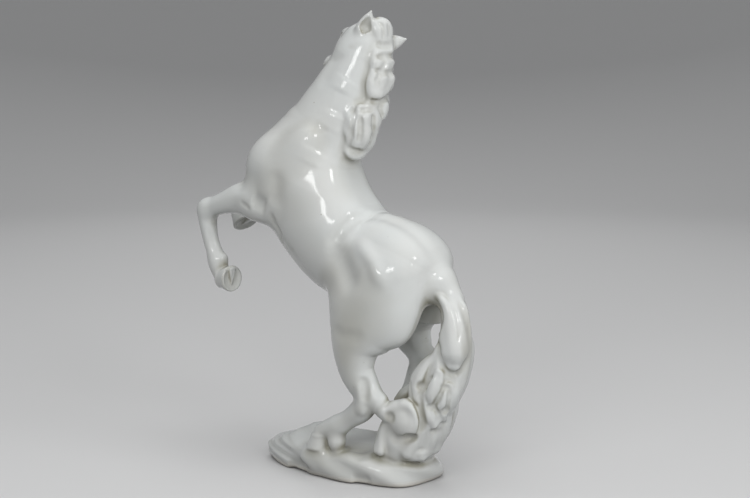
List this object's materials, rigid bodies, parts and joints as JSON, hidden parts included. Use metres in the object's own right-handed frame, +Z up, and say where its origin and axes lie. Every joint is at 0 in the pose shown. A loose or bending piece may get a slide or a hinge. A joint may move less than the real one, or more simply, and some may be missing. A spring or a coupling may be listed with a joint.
{
  "type": "horse figurine",
  "caption": "Glossy white porcelain figurine of a rearing horse on a rock plinth, a standing ornament for a shelf or cabinet.",
  "frame": {"origin": "under the middle of the whole figure, on the plane that the plinth stands on", "axes": "+Z up, -X the way the horse faces, -Y its left side"},
  "size_m": [0.1972, 0.0709, 0.2807],
  "materials": {
    "porcelain": "gloss",
    "rock_porcelain": "gloss"
  },
  "bodies": {
    "root": {"plinth": "rock_porcelain", "trunk": "porcelain", "neck": "porcelain", "head": "porcelain", "left_ear": "porcelain", "right_ear": "porcelain", "forelock": "porcelain", "mane_upper": "porcelain", "mane_middle": "porcelain", "mane_lower": "porcelain", "left_foreleg": "porcelain", "right_foreleg": "porcelain", "left_hind_leg": "porcelain", "right_hind_leg": "porcelain", "tail": "porcelain", "tail_scroll": "porcelain", "tail_switch": "porcelain"}
  },
  "joints": []
}
